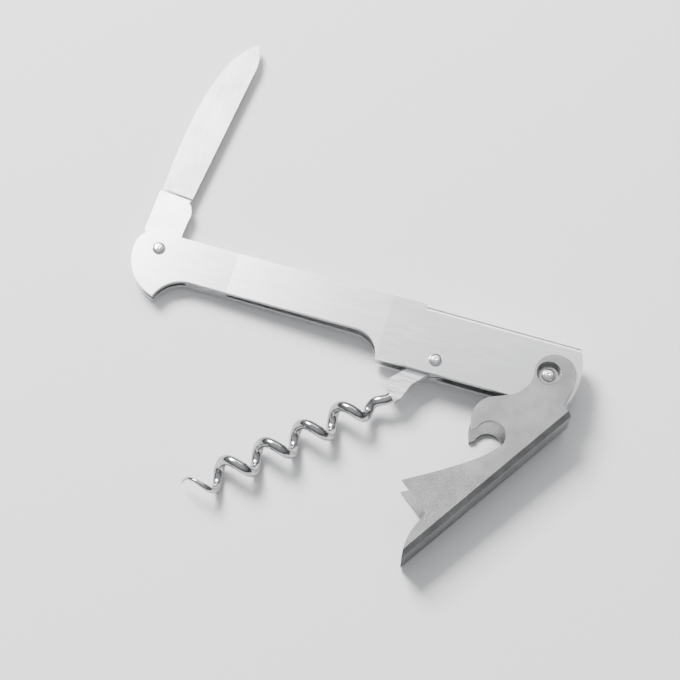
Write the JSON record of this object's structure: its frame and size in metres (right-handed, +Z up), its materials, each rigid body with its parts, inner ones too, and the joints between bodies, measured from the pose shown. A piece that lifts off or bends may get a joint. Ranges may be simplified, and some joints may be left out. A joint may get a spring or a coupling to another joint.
{
  "type": "lever corkscrew",
  "caption": "Folding sheet-steel lever corkscrew with a foil knife, a helical worm and a slotted lever with a crown-cap hook.",
  "frame": {"origin": "middle of the base of the whole tool as it lies half open, with the lever's lower side on Z = 0", "axes": "+X along the handle from the knife to the lever, +Y from the handle's belly to its back, +Z up, square to the handle's plates"},
  "size_m": [0.1114, 0.1194, 0.0107],
  "materials": {
    "handle_steel": "polished plate",
    "stop_steel": "plain",
    "knife_steel": "ground",
    "rivet_steel": "polished",
    "worm_steel": "polished wire",
    "tang_steel": "plated",
    "lever_steel": "tumbled satin plate",
    "spacer_steel": "plain"
  },
  "bodies": {
    "handle": {"handle_channel": "handle_steel", "knife_stop": "stop_steel", "knife_rivet": "rivet_steel", "worm_rivet": "rivet_steel", "lever_rivet": "rivet_steel", "lever_spacer": "spacer_steel"},
    "knife": {"knife_blade": "knife_steel"},
    "worm": {"worm_tang": "tang_steel", "worm_wire": "worm_steel"},
    "lever": {"lever": "lever_steel"}
  },
  "joints": [
    {"name": "knife_fold", "type": "hinge", "parent": "handle", "child": "knife", "pos_m": [-0.04966, -0.00211, 0.00535], "axis": [0, 0, 1], "range_deg": [-85, 95]},
    {"name": "lever_fold", "type": "hinge", "parent": "handle", "child": "lever", "pos_m": [0.04814, -0.00756, 0.00535], "axis": [0, 0, 1], "range_deg": [-57.1, 61.5]},
    {"name": "worm_fold", "type": "hinge", "parent": "handle", "child": "worm", "pos_m": [0.02184, -0.01101, 0.00535], "axis": [0, 0, 1], "range_deg": [-43.3, 46.7]}
  ],
  "couplings": [
    {"joint": "worm_fold", "follows": "lever_fold", "ratio": 0.7583}
  ]
}
